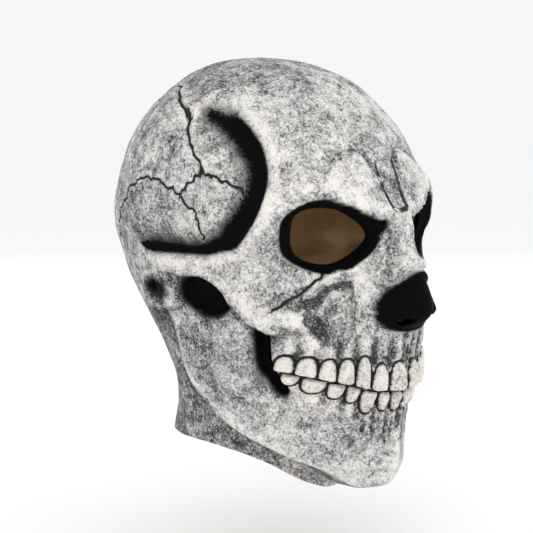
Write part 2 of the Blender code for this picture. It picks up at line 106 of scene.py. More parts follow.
# Outlines on the face, (distance from the middle, height).
SOCKET = ((10, -96), (18, -96.5), (33, -89.5), (46, -83), (56, -83.5), (66, -88), (72.5, -94),
          (73, -103), (70, -113), (62, -121), (52, -126.5), (43, -126.5), (32, -120.5), (21, -112),
          (13, -103))
EYE_HOLE = ((18, -105), (24, -98.5), (34.5, -90.5), (45, -88), (56, -89), (62.5, -94), (63, -106),
            (58.5, -115), (51, -120.5), (41, -122.5), (34, -121), (26, -116), (19.5, -109))
NOSE_EDGE = ((-14, -133), (0, -124.5), (14, -133), (20.5, -142), (23, -151), (21, -158.5), (14, -163),
             (0, -165), (-14, -163), (-21, -158.5), (-23, -151), (-20.5, -142))
# Middle of a nostril.
NOSTRIL = (11.0, -156.0)
# Teeth: from and to across, lower and upper end.
UPPER_TEETH = ((0.7, 12.1, -199.5, -181.8), (13.2, 21.7, -198.5, -182), (22.9, 29.7, -197.5, -177),
               (30.6, 37.4, -194, -178.3), (38.2, 44.5, -192.5, -178.3), (45.4, 52.3, -190, -177.2),
               (53, 58.4, -187.5, -176.8))
LOWER_TEETH = ((0.5, 8.2, -212.3, -200), (9.2, 16, -211.8, -199.6), (17.2, 25.6, -212.8, -198.4),
               (26.4, 32.6, -205.8, -194.8), (33.6, 40.4, -203, -193.3), (41.2, 49.6, -199.8, -190.3),
               (50.8, 56.2, -195.6, -187.8))
BITE = ((0, -199.8), (13, -199.2), (22, -198.2), (29, -195.4), (37, -193.2), (45, -190.8), (52, -188.6),
        (60, -186))
# Lines on the side, (forward or back, height).
JAW_RIDGE = ((10, -110), (4, -140), (0, -160), (-2, -175), (-5, -189), (-12, -203), (-24, -217),
             (-38, -227), (-52, -237), (-70, -249), (-92, -262))
CRESCENT = ((-12, -27), (-30, -32), (-46, -42), (-58, -53), (-65, -66), (-67.5, -80), (-64, -93),
            (-56, -104), (-45, -111), (-30, -113.5), (-10, -114), (10, -113.5), (24, -112.5))
ARCH_EDGE = ((30, -129), (-5, -130), (-25, -132), (-38, -137), (-47, -143), (-54, -150), (-61, -157),
             (-68, -161), (-78, -160), (-90, -152))
SLOT = ((-60.5, -164), (-60, -172), (-59.5, -182), (-62, -192), (-67, -200))
OVAL = (-28, -143, 18.5, 12.0, -13.0)
EAR = (19, -143, 4.0, 5.2)


def spline(t, column):
    table = np.array(SECTIONS)[:, column]
    i = np.clip(np.floor(t).astype(int), 0, LAST - 1)
    f = t - i
    b = table[i]
    c = table[i + 1]
    a = np.where(i > 0, table[np.maximum(i - 1, 0)], 2 * b - c)
    d = np.where(i < LAST - 1, table[np.minimum(i + 2, LAST)], 2 * c - b)
    return 0.5 * (2 * b + (c - a) * f + (2 * a - 5 * b + 4 * c - d) * f**2 + (3 * b - a - 3 * c + d) * f**3)


def ease(x):
    x = np.clip(x, 0, 1)
    return x * x * (3 - 2 * x)


def bump(distance, width):
    return np.exp(-((distance / width) ** 2))


def reach(s, c, half, front, power):
    half = np.maximum(half, 1e-3)
    front = np.maximum(front, 1e-3)
    return ((np.abs(s) / half) ** power + (np.abs(c) / front) ** power) ** (-1 / power)


def base(angle, t, step=12.0):
    """The plain head form, with no relief. The angle runs from the middle of the face towards +X."""
    s = np.sin(angle)
    c = np.cos(angle)
    front_z, back_z, jaw_w, jaw_f, jaw_n, neck_w, neck_f, back_b, back_n = (spline(t, k) for k in range(9))
    z = HEIGHT * (back_z + (front_z - back_z) * ((1 + c) / 2) ** 6)
    back = reach(s, c, jaw_w * HALF_WIDTH, back_b * BACK_REACH, back_n)
    jaw = np.where(c > 0, reach(s, c, jaw_w * HALF_WIDTH, jaw_f * FRONT_REACH, jaw_n), back)
    neck = reach(s, c, neck_w * HALF_WIDTH,
                 np.where(c > 0, neck_f * FRONT_REACH, back_b * BACK_REACH), back_n)
    ridge = np.array(JAW_RIDGE)
    behind = -jaw * c - np.interp(-z, -ridge[:, 1], ridge[:, 0])
    share = 1 - ease(behind / step) * ease((t - 7.5) / 2)
    r = neck + (jaw - neck) * share
    return np.stack([r * s, -r * c, z], -1)


def base_normal(angle, t):
    e = 0.02
    t0 = np.clip(t - e, 0.3, LAST)
    t1 = np.clip(t + e, 0.3 + 2 * e, LAST)
    across = base(angle + e, t, 26.0) - base(angle - e, t, 26.0)
    down = base(angle, t1, 26.0) - base(angle, t0, 26.0)
    normal = np.cross(down, across)
    length = np.linalg.norm(normal, axis=-1, keepdims=True)
    normal = normal / np.maximum(length, 1e-9)
    top = ease(1 - t / 0.8)[..., None]
    normal = normal * (1 - top) + top * np.array([0.0, 0.0, 1.0])
    return normal / np.linalg.norm(normal, axis=-1, keepdims=True)


def near_line(a, b, points):
    """Distance to a line of points, which side it is on, and how far along it is."""
    best = np.full(a.shape, 1e9)
    side = np.zeros(a.shape)
    along = np.zeros(a.shape)
    done = 0.0
    for (a0, b0), (a1, b1) in zip(points[:-1], points[1:]):
        da = a1 - a0
        db = b1 - b0
        size = math.hypot(da, db)
        u = np.clip(((a - a0) * da + (b - b0) * db) / size**2, 0, 1)
        d = np.hypot(a - a0 - u * da, b - b0 - u * db)
        closer = d < best
        best = np.where(closer, d, best)
        side = np.where(closer, np.sign(da * (b - b0) - db * (a - a0)), side)
        along = np.where(closer, done + u * size, along)
        done += size
    return best, side, along / done


def inside(a, b, outline):
    """Signed distance to a closed outline, below zero inside."""
    loop = tuple(outline) + (outline[0],)
    d = near_line(a, b, loop)[0]
    odd = np.zeros(a.shape, bool)
    for (a0, b0), (a1, b1) in zip(loop[:-1], loop[1:]):
        crosses = (b0 > b) != (b1 > b)
        at = a0 + (b - b0) * (a1 - a0) / (b1 - b0 if b1 != b0 else 1e-9)
        odd ^= crosses & (a < at)
    return np.where(odd, -d, d)


def rounded(outline, times=2):
    """The outline with its corners cut, which leaves a smooth curve."""
    points = [tuple(map(float, p)) for p in outline]
    for _ in range(times):
        cut = []
        for p, q in zip(points, points[1:] + points[:1]):
            cut.append((0.75 * p[0] + 0.25 * q[0], 0.75 * p[1] + 0.25 * q[1]))
            cut.append((0.25 * p[0] + 0.75 * q[0], 0.25 * p[1] + 0.75 * q[1]))
        points = cut
    return points


def eased_line(points, times=2):
    """The open line with its corners cut."""
    points = [tuple(map(float, p)) for p in points]
    for _ in range(times):
        cut = [points[0]]
        for p, q in zip(points[:-1], points[1:]):
            cut.append((0.75 * p[0] + 0.25 * q[0], 0.75 * p[1] + 0.25 * q[1]))
            cut.append((0.25 * p[0] + 0.75 * q[0], 0.25 * p[1] + 0.75 * q[1]))
        points = cut + [points[-1]]
    return points


def relief(p):
    """How far the broad relief stands out along the normal, and how far it lies back along Y, in mm."""
    ax = np.abs(p[..., 0])
    y = p[..., 1]
    z = p[..., 2]
    face = ease((-y - 30) / 25)
    out = np.zeros(ax.shape)

    # Sockets: a raised rim, then a bowl that falls to the edge of the eye hole.
    edge = inside(ax, z, rounded(SOCKET))
    hole = inside(ax, z, rounded(EYE_HOLE))
    share = np.where(edge < 0, -edge / np.maximum(-edge + np.maximum(hole, 0), 1e-6), 0)
    bowl = (6.0 + 4.5 * ease((ax - 20) / 32)) * (1 - (1 - share) ** 1.7)
    back = face * bowl
    brow = 2.9 * bump(edge - 6, 7) * ease((z + 112) / 12)
    lower_rim = 1.6 * bump(edge - 4, 4.5) * ease((-108 - z) / 8)
    out += face * (np.where(edge > 0, brow + lower_rim, (brow + lower_rim) * (1 - share) ** 2))
    out += face * 0.6 * bump(near_line(ax, z, ((8, -83), (20, -78), (36, -71), (54, -70)))[0], 9)

    # Bridge of the nose, the nose form and the edge of the nose opening.
    out += face * 3.0 * bump(ax, 9) * ease((z + 132) / 10) * ease((-z - 84) / 16)
    bone = np.interp(-z, (84, 91, 99, 110, 121, 127, 134, 142), (0, 1.5, 4.5, 10.5, 16.0, 16.5, 12, 0))
    bone = bone * bump(ax, 8.5 + np.clip((-z - 100) / 8, 0, 4))
    rim = inside(p[..., 0], z, rounded(NOSE_EDGE))
    out += face * 4.2 * bump(np.maximum(rim, 0), 9) * ease((rim + 3.5) / 3.5) * ease((-z - 116) / 18)
    ridge = np.interp(-z, (120, 123, 127, 131, 137, 144, 150, 154, 157.5, 160.5, 163, 165.5),
                      (0, 11, 18, 21, 23, 24, 22.5, 20, 16, 11, 5, 0))
    wide = np.interp(-z, (124, 128, 133, 142, 151, 158.5, 163, 166), (9, 13, 16.5, 20.5, 23, 21, 15, 11))
    bulb = ridge * np.maximum(1 - (ax / wide) ** 2, 0) ** 0.62
    wing = 4.0 * bump(np.hypot((ax - 13.5) / 5, (z + 151) / 6), 1.0)
    tip = 3.5 * bump(np.hypot(ax / 8, (z + 150) / 7), 1.0)
    nose = np.maximum(bulb + np.maximum(wing, tip) * ease(bulb / 6), bone)
    back = np.where(y < -60, back - nose, back)

    # Cheekbone and arch: full above the lower edge, cut back sharply below it.
    d, side, along = near_line(y, z, eased_line(ARCH_EDGE))
    high = np.interp(-y, (-26, 0, 25, 42, 56, 66, 76, 88, 96), (0, 0.8, 2.0, 4.8, 7.6, 8.0, 6.0, 2.0, 0))
    above = np.where(side > 0, -d, d)
    body = np.where(above > 0, bump(above, 18), bump(above, 3.4))
    keep = ease((y + 96) / 20) * ease((ax - 30) / 14) * ease((-y + 26) / 14)
    out += high * body * keep * np.where(edge < 2, ease((edge + 4) / 6), 1)

    # Ramus: a flat plate behind the slot.
    plate = ease((y + 60) / 5) * ease((6 - y) / 40) * ease((-z - 150) / 12) * ease((z + 212) / 22)
    out += 5.5 * plate * ease((ax - 40) / 10)

    # Hollow of the cheek beside the nose opening.
    out -= face * 3.0 * bump(np.hypot((ax - 42) / 12, (z + 147) / 15), 1.0)

    # Upper gum stands forward of the lower one, and the lower one of the hollow above the chin.
    bite = np.interp(ax, [q[0] for q in BITE], [q[1] for q in BITE])
    fang = face * ease((66 - ax) / 8)
    out += fang * 2.4 * ease((z - bite) / 1.2) * ease((-154 - z) / 14)
    out -= fang * 0.8 * ease((bite - z) / 1.2) * ease((z + 230) / 20)

    # Chin, with its middle ridge and the two corners, and the rolled border of the jaw.
    out += face * 1.3 * bump(ax, 4.5) * ease((-212 - z) / 10) * ease((z + 262) / 8)
    out += face * 2.2 * bump(np.hypot((ax - 20) / 10, (z + 247) / 8), 1.0)
    d, side, along = near_line(y, z, eased_line(JAW_RIDGE))
    front = np.where(side < 0, d, -d)
    roll = bump(d - 4, 5) * ease((along - 0.22) / 0.12) * ease((0.93 - along) / 0.1)
    out += 2.0 * roll * (front > 0) * ease((ax - 25) / 20)

    # Crescent round the temple: crisp on the face side, soft towards the ear.
    d, side, along = near_line(y, z, eased_line(CRESCENT))
    away = np.where(side < 0, d, -d)
    cut = np.where(away > 0, 1 - ease((away - 2.5) / 5.5), bump(away, 9))
    ends = ease((along - 0.0) / 0.14) * ease((1 - along) / 0.1)
    within = ease((ax - 34) / 14)
    out -= 4.2 * cut * ends * within
    out += 1.3 * bump(away - 10, 5) * ease(away / 4) * ends * within
    out -= 1.4 * (away < 0) * ease((-away - 4) / 10) * ease((y + 66) / 12) * ease((30 - y) / 20) \
        * ease((z + 112) / 10) * ease((-24 - z) / 20) * within

    # Root of the ear: a ring round the canal, and the knob behind the jaw.
    ring = np.hypot((y - EAR[0]) / 8.5, (z - EAR[1]) / 11)
    out += 2.4 * bump(ring - 1, 0.42) * ease((ax - 40) / 10)
    out += 2.5 * bump(np.hypot((y - 26) / 11, (z + 160) / 13), 1.0) * ease((ax - 40) / 10)
    return out, back


def pits(p):
    """Depth of the narrow recesses on the side of the head: ear canal, oval hollow and slot."""
    ax = np.abs(p[..., 0])
    y = p[..., 1]
    z = p[..., 2]
    canal = 4.5 * (1 - ease((np.hypot((y - EAR[0]) / EAR[2], (z - EAR[1]) / EAR[3]) - 0.7) / 0.55))
    a = math.radians(OVAL[4])
    u = (y - OVAL[0]) * math.cos(a) + (z - OVAL[1]) * -math.sin(a)
    v = (y - OVAL[0]) * math.sin(a) + (z - OVAL[1]) * math.cos(a)
    oval = 7.5 * (1 - ease((np.hypot(u / OVAL[2], v / OVAL[3]) - 0.74) / 0.34))
    slot = 7.0 * (1 - ease((near_line(y, z, SLOT)[0] - 2.6) / 3.2))
    return np.maximum(np.maximum(canal, oval), slot) * ease((ax - 40) / 10)


def tooth(ax, z, box):
    """0 outside the tooth's outline, rising to 1 on its crown."""
    x0, x1, z0, z1 = box
    q = (np.abs((ax - (x0 + x1) / 2) / ((x1 - x0) / 2)) ** 2.8
         + np.abs((z - (z0 + z1) / 2) / ((z1 - z0) / 2)) ** 2.8) ** (1 / 2.8)
    return q


# Fine relief and paint. Lines on the face are (distance from the middle, height), on the side
# (forward or back, height).
SUTURES = (
    ((17, -17), (3.5, -24.6), (-11, -34), (-14, -42), (-23.6, -56.6), (-32.4, -67.6)),
    ((-32.4, -67.6), (-44, -71.5), (-53.3, -74.3), (-60, -79)),
    ((-32.4, -67.6), (-24.9, -73.3), (-18.7, -80.8)),
    ((-18.7, -80.8), (-7.2, -76.1), (2.4, -73.3), (12.7, -72.4), (25.4, -78), (31.9, -87), (37.3, -93.3),
     (46, -106), (54, -120)),
    ((-18.7, -80.8), (-27.3, -88.7), (-32.5, -94.7), (-34.4, -103.7), (-34, -108)),
)
TEMPLE_OUTER = ((-16.8, -30.5), (-21.6, -27.4), (-30.7, -28.1), (-41.5, -32.5), (-53.4, -40.8),
                (-63.5, -50.9), (-68.9, -61.6), (-71.6, -71), (-73.1, -80.8), (-73.1, -91.1),
                (-69.2, -98.9), (-61.5, -108), (-55.8, -112.9), (-43, -116.6), (-30.6, -118.5),
                (-2.2, -119.1), (16.3, -119.1), (22.5, -115.3))
TEMPLE_INNER = ((20, -110), (10.2, -109.5), (-11.7, -110), (-24.3, -111), (-35.6, -107.4),
                (-45.9, -101.4), (-53.4, -91.9), (-57.9, -81.7), (-58.4, -72.4), (-55.5, -63.6),
                (-50, -56.7), (-41.6, -48.7), (-32.5, -42.5), (-23.2, -39.7))
CHEEK_CRACK = ((45, -125), (48.6, -126.3), (52, -130.3), (55.6, -135.7), (58.3, -140.2), (62.3, -142.7),
               (64.5, -147.2))
CORNER_CRACK = ((57.5, -135), (63.5, -139), (66.5, -142.5))
NOSE_CRACK = ((12.7, -96.7), (11.7, -104.3), (11.2, -112), (12.2, -119), (13, -127))
BRIDGE_CRACK = ((1.0, -104), (1.7, -110), (0.6, -115), (1.4, -120.5))
BRACKET = ((9, -63), (8.4, -72), (7.2, -84), (6.6, -91), (0.0, -91.5))
BROW_ARC = ((54, -79), (47.5, -71), (43, -64.5), (32.5, -58.5), (22, -54.5), (15, -57), (11.7, -66))
FOSSA = ((54.5, -154), (53.6, -146), (48.6, -136.5), (42, -131.5), (33.5, -131.5), (30.6, -139),
         (30.2, -152), (32, -163), (36, -173), (43, -174), (48, -165), (52, -159))
FOSSA_DEEP = ((34, -131.8), (42, -131.8), (48.4, -136.8), (53.2, -146), (53.8, -154), (49.5, -161.5),
              (45.5, -168), (42, -174))
FOSSA_THIN = ((33, -132), (31, -139), (30.6, -152), (32.4, -163), (36, -172))
CREST = ((57.5, -151), (55, -155.5), (52.8, -158.5), (49.2, -164.5), (45.3, -170.5), (43.8, -176))
OVER_FOSSA = ((52, -133), (47, -127.5), (40, -124), (31, -124.5), (27, -131))
CORNER = ((64.6, -155), (61.5, -157.5), (57.3, -159), (53.5, -163))
# Dark streaks between the roots: distance from the middle, width, lower end, upper end.
STREAKS = ((3.7, 1.3, -181, -161), (0.0, 0.9, -184, -170), (11.6, 1.9, -182, -162),
           (21.4, 1.7, -180, -162), (17, 1.0, -181, -172), (30.2, 1.6, -178, -161),
           (37.8, 1.3, -178, -164), (45.0, 1.4, -177, -166), (52.6, 1.3, -176, -167),
           (0.6, 2.6, -226, -212), (8.9, 1.3, -240, -210), (5.0, 0.8, -233, -211),
           (13.0, 0.9, -224, -210), (16.8, 1.4, -230, -209), (21.5, 1.2, -228, -210),
           (26.2, 1.4, -220, -205), (33.1, 1.3, -214, -202), (40.9, 1.3, -209, -199))


def noise_at(k):
    """A fixed pseudo-random number from 0 to 1."""
    v = math.sin(k * 127.1 + 311.7) * 43758.5453
    return v - math.floor(v)


def jagged(points, pitch, swing, seed):
    """The line broken into short steps that stray to either side."""
    line = []
    k = seed
    for (a0, b0), (a1, b1) in zip(points[:-1], points[1:]):
        size = math.hypot(a1 - a0, b1 - b0)
        steps = max(1, int(size / pitch))
        for i in range(steps):
            u = i / steps
            off = swing * (2 * noise_at(k) - 1)
            k += 1
            a = a0 + (a1 - a0) * u - (b1 - b0) / size * off
            b = b0 + (b1 - b0) * u + (a1 - a0) / size * off
            line.append((a, b))
    line.append(points[-1])
    return line


SUTURE_LINES = [jagged(eased_line(s, 1), 2.0, 1.75, 17 * k) for k, s in enumerate(SUTURES)]
CHEEK_LINE = jagged(CHEEK_CRACK, 2.2, 0.9, 101)
NOSE_LINE = jagged(NOSE_CRACK, 3.0, 0.7, 131)
BRIDGE_LINE = jagged(BRIDGE_CRACK, 2.4, 0.7, 151)
CORNER_LINE = jagged(CORNER_CRACK, 2.4, 0.7, 171)
TEMPLE = TEMPLE_OUTER + TEMPLE_INNER


def crown_shape(ax, z, box, up):
    """0 at the middle of a tooth and 1 on its outline: flat at the biting edge, narrow at the gum."""
    x0, x1, z0, z1 = box
    wide = x1 - x0
    share = (z - z0) / (z1 - z0) if up else (z1 - z) / (z1 - z0)
    taper = 0.34 if x1 < 27 else 0.14
    half = wide / 2 * (1.03 - taper * np.clip(share, 0, 1) ** 1.4)
    v = 2 * share - 1
    high = np.where(v < 0, np.abs(v) ** 6, np.abs(v) ** 2.3)
    return (np.abs((ax - (x0 + x1) / 2) / half) ** 3 + high) ** (1 / 3)


def tooth_field(ax, y, z):
    """Distance in mm outside the nearest tooth, below zero on it."""
    best = np.full(ax.shape, FAR)
    bite = np.interp(ax, [q[0] for q in BITE], [q[1] for q in BITE])
    for boxes, up in ((UPPER_TEETH, True), (LOWER_TEETH, False)):
        past = (bite + 0.6 - z) if up else (z - bite + 0.9)
        for box in boxes:
            q = crown_shape(ax, z, box, up)
            size = np.hypot(ax - (box[0] + box[1]) / 2, z - (box[2] + box[3]) / 2)
            best = np.minimum(best, np.maximum(size * (1 - 1 / np.maximum(q, 0.05)), past))
    return np.where(y < -35, best, FAR)


def crown_of_teeth(ax, y, z):
    """How far the teeth stand out, in mm, with the grooves between them."""
    out = np.zeros(ax.shape)
    bite = np.interp(ax, [q[0] for q in BITE], [q[1] for q in BITE])
    for boxes, up in ((UPPER_TEETH, True), (LOWER_TEETH, False)):
        for box in boxes:
            q = crown_shape(ax, z, box, up)
            past = (bite + 0.6 - z) if up else (z - bite + 0.9)
            out = np.maximum(out, 2.9 * np.maximum(1 - q**3, 0) ** 0.5 * ease(-past / 1.1))
    far = tooth_field(ax, y, z)
    out -= 1.1 * bump(far - 0.7, 0.8)
    return np.where(y < -35, out, 0)


def roots(ax, z):
    """Ridges over the roots of the teeth, 1 on a ridge and 0 between two."""
    out = np.zeros(ax.shape)
    for boxes, up in ((UPPER_TEETH, True), (LOWER_TEETH, False)):
        for x0, x1, z0, z1 in boxes:
            across = bump(ax - (x0 + x1) / 2, (x1 - x0) * 0.36)
            if up:
                out += across * ease((z - z1 + 2) / 4) * ease((z1 + 17 - z) / 12)
            else:
                out += across * ease((z0 + 2 - z) / 4) * ease((z - z0 + 13) / 9)
    return out


def streaks(ax, z):
    """1 in a dark streak between two roots, falling to 0 beside it and at its ragged end."""
    out = np.zeros(ax.shape)
    for x, wide, low, high in STREAKS:
        ragged = 0.48 * np.sin(z * 1.1 + x * 3)
        length = high - low
        if low > -200:
            thin = ease((high - z) / (0.55 * length)) * ease((z - low + 3) / 3)
        else:
            thin = ease((z - low) / (0.55 * length)) * ease((high + 3 - z) / 3)
        across = (ax - x - ragged) / (wide * (0.35 + 0.65 * thin))
        out = np.maximum(out, bump(across, 1.0) * ease(thin * 2.2))
    return out


def hollows(ax, y, z):
    """Depth in mm of the cheek hollow beside the nose, and of the slopes that narrow the chin."""
    field = inside(ax, z, rounded(FOSSA))
    chin = 5.2 * ease((ax - 8) / 26) * ease((-221 - z) / 37) * ease((-y - 20) / 35)
    return 2.6 * ease(-field / 3.2) * ease((-y - 42) / 16) + chin


def fine(p):
    """Small relief in mm: teeth, roots, cracks, brow arcs and the rims of the hollows."""
    x = p[..., 0]
    ax = np.abs(x)
    y = p[..., 1]
    z = p[..., 2]
    face = ease((-y - 42) / 16)
    side = ease((ax - 34) / 12)
    out = crown_of_teeth(ax, y, z)
    out += 1.1 * face * roots(ax, z) * ease((58 - ax) / 8)
    out -= 1.0 * face * streaks(ax, z)
    for line in SUTURE_LINES:
        d = near_line(y, z, line)[0]
        out += side * (0.55 * bump(d - 2.3, 1.5) - 1.2 * bump(d, 0.95)) * (z > -126)
    for line in (CHEEK_LINE, CORNER_LINE):
        d = near_line(ax, z, line)[0]
        out += face * (0.5 * bump(d - 2.2, 1.5) - 1.1 * bump(d, 0.9))
    for across, line in ((ax, NOSE_LINE), (x, BRIDGE_LINE)):
        out -= face * 0.8 * bump(near_line(across, z, line)[0], 0.8)
    d = near_line(ax, z, eased_line(BRACKET))[0]
    out -= face * 0.8 * bump(d, 1.1)
    arc = inside(ax, z, BROW_ARC + ((16, -80), (40, -80)))
    out += face * (0.9 * ease(-arc / 4) * ease((z + 82) / 8) - 0.5 * bump(arc - 0.5, 1.6) * (z > -78))
    d = near_line(ax, z, eased_line(CREST))[0]
    out += face * 1.9 * bump(d, 2.0)
    d = near_line(ax, z, eased_line(OVER_FOSSA))[0]
    out += face * 1.6 * bump(d, 2.2)
    d = near_line(ax, z, eased_line(CORNER))[0]
    out -= face * 0.8 * bump(d, 1.3)
    out -= face * 1.0 * bump(np.hypot(ax - 56.4, z + 146), 3.0)
    # A raised lip round the temple's dark hollow, crisp on the side of the face.
    d = near_line(y, z, eased_line(TEMPLE_OUTER))[0]
    field = inside(y, z, TEMPLE)
    out += side * 0.8 * bump(d - 2.2, 1.8) * (field > 0) * (z < -27)
    # The boss in the middle of the chin.
    out += face * 0.9 * bump(ax, 3.4) * ease((-223 - z) / 5) * ease((z + 252) / 8)
    # Low lumps, so that no large area is perfectly even.
    out += 0.38 * np.sin(x / 9.1 + 1.3) * np.sin(z / 11.3 + 0.4) * np.sin(y / 10.2)
    out += 0.26 * np.sin(x / 4.3 + z / 6.1) * np.sin(y / 4.9 - z / 7.7 + 2.0)
    out += 0.16 * np.sin(x / 2.3 - z / 3.1) * np.sin(y / 2.9 + z / 2.7 + 1.0) * ease(-field / 3 + 1)
    return out


def skin(angle, t):
    """The painted outside in mm, and the plain form under it."""
    plain = base(angle, t)
    out, back = relief(plain)
    ax = np.abs(plain[..., 0])
    lift = out - pits(plain) - hollows(ax, plain[..., 1], plain[..., 2]) + fine(plain) * ease(t / 2)
    # The edge of an eye hole rolls in towards the wall's inner side.
    hole = inside(ax, plain[..., 2], rounded(EYE_HOLE))
    roll = 1 - np.sqrt(np.clip(1 - (1 - np.clip(hole / 1.8, 0, 1)) ** 2, 0, 1))
    back = back + 1.4 * roll * (plain[..., 1] < -40)
    points = plain + base_normal(angle, t) * lift[..., None]
    points[..., 1] += back
    return points, plain


def signed_lines(a, b, lines, keep):
    """The nearest line's distance with its side, and without, both in mm."""
    best = np.full(a.shape, FAR)
    signed = np.full(a.shape, FAR)
    for line in lines:
        d, which, _ = near_line(a, b, line)
        d = np.where(keep, d, FAR)
        closer = d < best
        best = np.where(closer, d, best)
        signed = np.where(closer, d * which, signed)
    return best, signed


def paint(p):
    """The painter's masks at each point of the plain form."""
    x = p[..., 0]
    ax = np.abs(x)
    y = p[..., 1]
    z = p[..., 2]
    front = y < -40
    face = ease((-y - 42) / 12)
    flank = ax > 34

    socket = inside(ax, z, rounded(SOCKET))
    hole = inside(ax, z, rounded(EYE_HOLE))
    socket = np.minimum(socket, hole - 2.8)
    nose = inside(x, z, rounded(NOSE_EDGE))
    a = math.radians(OVAL[4])
    u = (y - OVAL[0]) * math.cos(a) - (z - OVAL[1]) * math.sin(a)
    v = (y - OVAL[0]) * math.sin(a) + (z - OVAL[1]) * math.cos(a)
    oval = (np.hypot(u / OVAL[2], v / OVAL[3]) - 1) * OVAL[3]
    ear = (np.hypot((y - 14) / 11.5, (z + 142) / 6.6) - 1) * 6
    slot = near_line(y, z, eased_line(SLOT))[0] - 4.4
    temple = inside(y, z, rounded(TEMPLE, 1))
    outer = near_line(y, z, TEMPLE_OUTER)[0]
    inner_edge = near_line(y, z, TEMPLE_INNER)[0]
    soft = 0.9 + 3.6 * ease((outer - inner_edge) / 6 + 0.5)
    soft = np.maximum(soft, 0.9 + 3.2 * ease((z + 44) / 12) * ease((y + 44) / 12))
    fossa = inside(ax, z, rounded(FOSSA))

    recess = np.full(x.shape, FAR)
    sides = ((oval, 1.1, flank), (ear, 1.4, flank), (slot, 1.1, flank))
    painted = ((socket, 1.0, front), (nose, 0.9, y < -60)) + sides
    for field, wide, keep in painted:
        recess = np.where(keep, np.minimum(recess, field / wide), recess)
    recess = np.where(flank, np.minimum(recess, (temple + 0.35 * soft) / soft), recess)

    # Darkening: grey wash, plus painted shade in the places marked below.
    wash_and_shade = np.zeros(x.shape)
    wash_and_shade += 0.30 * face * bump(np.maximum(socket, 0), 4.0) * front
    wash_and_shade += 0.40 * face * bump(np.maximum(nose, 0), 3.6) * (y < -60)
    wash_and_shade += 0.45 * flank * bump(np.maximum(oval, 0), 4.0)
    wash_and_shade += 0.60 * flank * bump(np.maximum(ear, 0), 4.5)
    wash_and_shade += 0.40 * flank * bump(np.maximum(slot, 0), 3.5)
    wash_and_shade += 0.55 * flank * bump(np.maximum(temple, 0), 6.0) * ease((outer - inner_edge) / 8 + 0.3)
    deep = near_line(ax, z, eased_line(FOSSA_DEEP))[0]
    wash_and_shade += 1.25 * face * ease((7.0 - deep) / 4.5) * ease((0.6 - fossa) / 1.2) * ease((z + 176) / 18)
    wash_and_shade += 0.9 * face * bump(near_line(ax, z, eased_line(FOSSA_THIN))[0], 1.0) * ease((z + 174) / 8)
    wash_and_shade += 0.22 * face * ease(-fossa / 4)
    wash_and_shade += 0.8 * face * bump(near_line(ax, z, NOSE_LINE)[0], 0.9)
    wash_and_shade += 0.45 * face * bump(near_line(x, z, BRIDGE_LINE)[0], 0.8)
    wash_and_shade += 0.75 * face * bump(np.hypot((ax - 57) / 4.5, (z + 144) / 4.5), 1.0)
    wash_and_shade += 0.9 * face * bump(np.hypot(ax - 56.4, z + 146), 3.4)
    wash_and_shade += 0.6 * face * bump(near_line(ax, z, eased_line(CORNER))[0], 1.6)
    wash_and_shade += 0.7 * face * bump(near_line(ax, z, CORNER_LINE)[0], 1.3)
    wash_and_shade += 0.4 * face * bump(near_line(ax, z, CHEEK_LINE)[0], 2.6)
    # Painted shadow below the lower edge of the cheekbone arch.
    d, which, _ = near_line(y, z, eased_line(ARCH_EDGE))
    below = np.where(which < 0, -d, d)
    wash_and_shade += 0.95 * flank * bump(below - 2.5, 3.6) * (below > 0) * ease((20 - y) / 20) * ease((y + 88) / 14)
    wash_and_shade += 0.45 * face * bump(near_line(ax, z, eased_line(BROW_ARC))[0] - 0.6, 1.6)
    # Painted shade on the neck behind the jaw ridge, where the step throws a shadow.
    d, which, along = near_line(y, z, eased_line(JAW_RIDGE))
    behind = np.where(which < 0, -d, d)
    neck = ease((along - 0.16) / 0.1)
    wash_and_shade += neck * (0.62 * bump(behind - 4, 5) * (behind > 0) + 0.42 * ease(behind / 5))
    # A dark band under the ear's root: grey wash and painted shade.
    wash_and_shade += 0.55 * flank * bump(np.hypot((y - 14) / 20, (z + 158) / 5.5), 1.0)
    # The back and the crown are greyer than the forehead, and the temple's plates too; this is partly grey
    # wash and partly painted shade.
    wash_and_shade += 0.20 * ease((y + 52) / 40) + 0.24 * ease((z + 40) / 32) * ease((y + 80) / 40)
    wash_and_shade -= 0.14 * flank * ease(-(y + 8) / 10) * ease((z + 112) / 8) * ease((-z - 34) / 12) * (y > -66)

    # Dark wedges between the roots, over the upper teeth and under the lower ones.
    wash_and_shade += 1.3 * face * streaks(ax, z)
    gaps = face * (1 - np.clip(roots(ax, z) * 1.2, 0, 1)) * ease((58 - ax) / 6)
    wash_and_shade += 0.6 * gaps * ease((z + 184) / 3) * ease((-168 - z) / 9)
    ragged = ease((z + 221 - 4 * np.cos(ax * 1.7)) / 8)
    wash_and_shade += 0.55 * gaps * ease((-205 - z) / 2) * ragged * ease((34 - ax) / 12)
    wash_and_shade += 0.25 * face * bump(np.hypot((ax - 38) / 14, (z + 212) / 8), 1.0)
    wash_and_shade += 0.25 * face * bump(np.hypot((ax - 24) / 10, (z + 232) / 9), 1.0)
    wash_and_shade += 0.25 * face * bump(np.hypot(ax / 12, (z + 78) / 14), 1.0)
    wash_and_shade += 0.28 * face * bump(np.hypot((ax - 17) / 7, (z + 118) / 14), 1.0)

    keep = flank & (z > -125)
    cut, cut_side = signed_lines(y, z, SUTURE_LINES, keep)
    small, small_side = signed_lines(ax, z, (CHEEK_LINE,), y < -30)
    cut_side = np.where(small < cut, small_side, cut_side)
    cut = np.minimum(cut, small)
    dots, dots_side = signed_lines(ax, z, (BRACKET,), y < -60)

